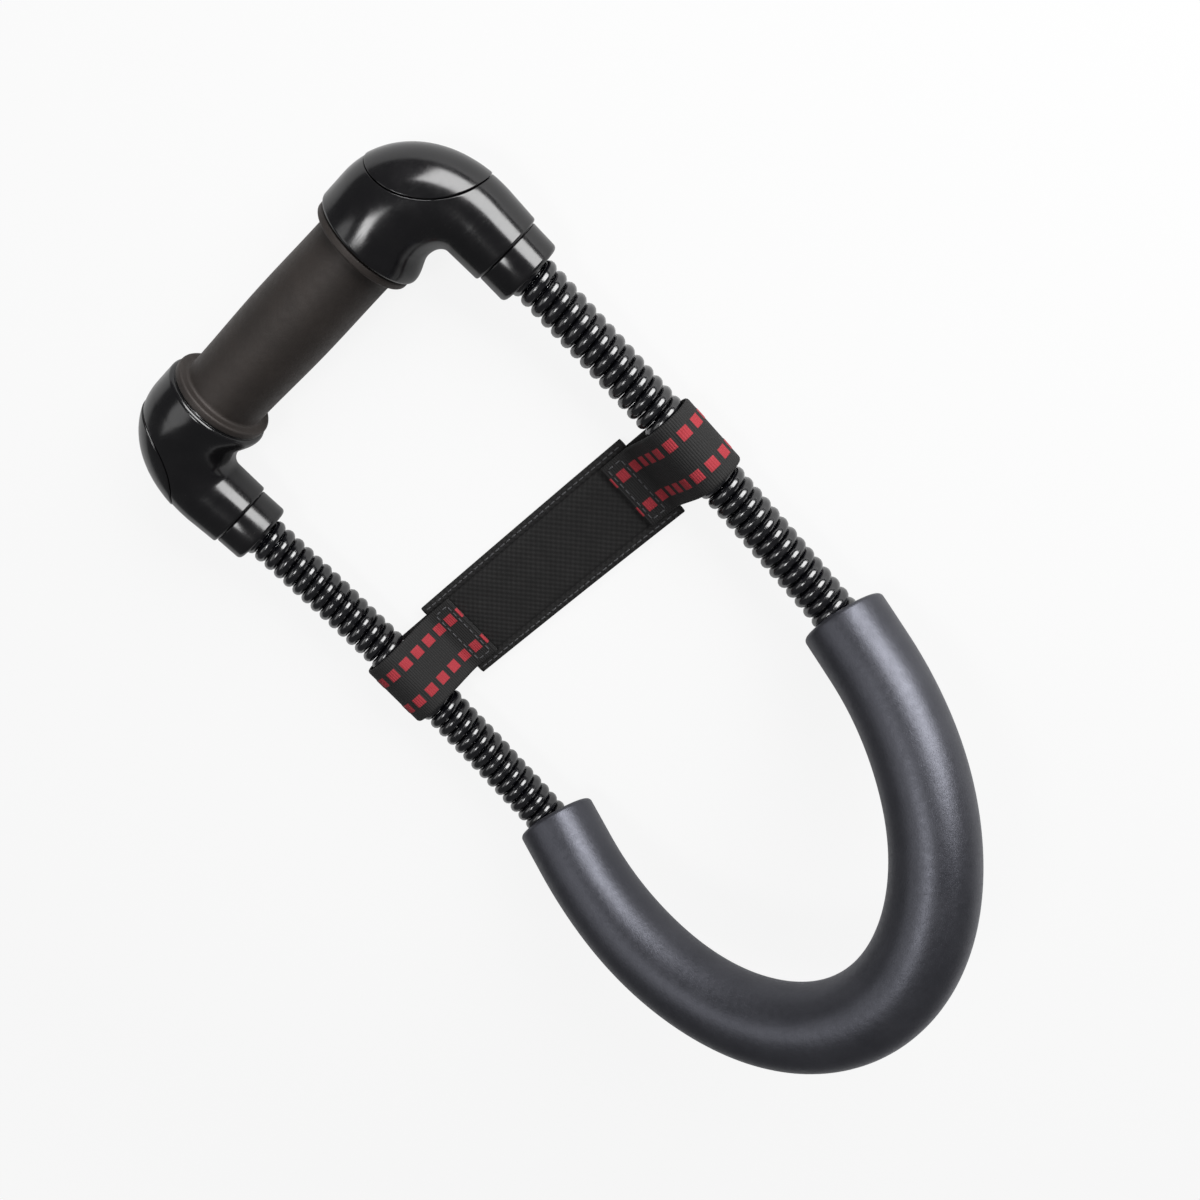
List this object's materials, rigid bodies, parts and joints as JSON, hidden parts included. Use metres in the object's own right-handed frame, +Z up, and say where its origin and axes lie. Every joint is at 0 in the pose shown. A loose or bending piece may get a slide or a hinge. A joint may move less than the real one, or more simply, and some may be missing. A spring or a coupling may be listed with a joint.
{
  "type": "wrist and forearm exerciser",
  "caption": "Foam-covered U frame joined by close-wound coil springs to a cross grip in moulded elbows, with a webbing wrist strap looped round the springs.",
  "frame": {"origin": "the middle of the bounding box's footprint, on the table under the object", "axes": "X across the object from the left spring to the right, +Y from the foam frame towards the handle, +Z up"},
  "size_m": [0.1724, 0.3338, 0.0871],
  "materials": {
    "spring_paint": "gloss black enamel on close-wound steel wire",
    "elbow_plastic": "polished black moulding",
    "foam": "closed-cell foam with a satin skin",
    "grip_foam": "closed-cell foam, matt",
    "band_fabric": "padded band with bound edges",
    "webbing": "black webbing with two rows of red dashes",
    "tube_steel": "drawn steel tube",
    "fixing_steel": "turned and plated steel"
  },
  "bodies": {
    "frame": {"frame_tube": "tube_steel", "foam_sleeve": "foam", "left_spring_anchor": "fixing_steel", "left_spring_coils_1": "spring_paint", "right_spring_anchor": "fixing_steel", "right_spring_coils_1": "spring_paint"},
    "spring_link_1": {"left_spring_coils_2": "spring_paint", "right_spring_coils_2": "spring_paint"},
    "spring_link_2": {"left_spring_coils_3": "spring_paint", "right_spring_coils_3": "spring_paint"},
    "spring_link_3": {"left_spring_coils_4": "spring_paint", "right_spring_coils_4": "spring_paint"},
    "spring_link_4": {"left_spring_coils_5": "spring_paint", "right_spring_coils_5": "spring_paint"},
    "spring_link_5": {"left_spring_coils_6": "spring_paint", "right_spring_coils_6": "spring_paint"},
    "handle": {"handle_tube": "tube_steel", "handle_grip": "grip_foam", "left_spring_coils_7": "spring_paint", "left_collar_ring": "elbow_plastic", "left_elbow_body": "elbow_plastic", "left_corner_cap": "elbow_plastic", "left_spring_plug": "fixing_steel", "left_plug_pin": "fixing_steel", "left_tube_insert": "fixing_steel", "left_handle_bolt": "fixing_steel", "left_handle_washer": "fixing_steel", "right_spring_coils_7": "spring_paint", "right_collar_ring": "elbow_plastic", "right_elbow_body": "elbow_plastic", "right_corner_cap": "elbow_plastic", "right_spring_plug": "fixing_steel", "right_plug_pin": "fixing_steel", "right_tube_insert": "fixing_steel", "right_handle_bolt": "fixing_steel", "right_handle_washer": "fixing_steel"},
    "strap": {"wrist_band": "band_fabric", "left_strap_loop": "webbing", "right_strap_loop": "webbing"}
  },
  "joints": [
    {"name": "flex_1", "type": "hinge", "parent": "frame", "child": "spring_link_1", "pos_m": [0, -0.0389, 0.0235], "axis": [1, 0, 0], "range_deg": [-2, 10], "stiffness_Nm_per_rad": 32},
    {"name": "flex_2", "type": "hinge", "parent": "spring_link_1", "child": "spring_link_2", "pos_m": [0, -0.01198, 0.02133], "axis": [1, 0, 0], "range_deg": [-2, 10], "stiffness_Nm_per_rad": 32},
    {"name": "flex_3", "type": "hinge", "parent": "spring_link_2", "child": "spring_link_3", "pos_m": [0, 0.01499, 0.02009], "axis": [1, 0, 0], "range_deg": [-2, 10], "stiffness_Nm_per_rad": 32},
    {"name": "flex_4", "type": "hinge", "parent": "spring_link_3", "child": "spring_link_4", "pos_m": [0, 0.04199, 0.0198], "axis": [1, 0, 0], "range_deg": [-2, 10], "stiffness_Nm_per_rad": 32},
    {"name": "flex_5", "type": "hinge", "parent": "spring_link_4", "child": "spring_link_5", "pos_m": [0, 0.06898, 0.02045], "axis": [1, 0, 0], "range_deg": [-2, 10], "stiffness_Nm_per_rad": 32},
    {"name": "flex_6", "type": "hinge", "parent": "spring_link_5", "child": "handle", "pos_m": [0, 0.09593, 0.02204], "axis": [1, 0, 0], "range_deg": [-2, 10], "stiffness_Nm_per_rad": 32},
    {"name": "strap_slide", "type": "slide", "parent": "spring_link_3", "child": "strap", "axis": [0, 0.9999, -0.0108], "range_m": [-0.005, 0.005]}
  ],
  "couplings": [
    {"joint": "flex_2", "follows": "flex_1", "ratio": 1},
    {"joint": "flex_3", "follows": "flex_1", "ratio": 1},
    {"joint": "flex_4", "follows": "flex_1", "ratio": 1},
    {"joint": "flex_5", "follows": "flex_1", "ratio": 1},
    {"joint": "flex_6", "follows": "flex_1", "ratio": 1}
  ]
}
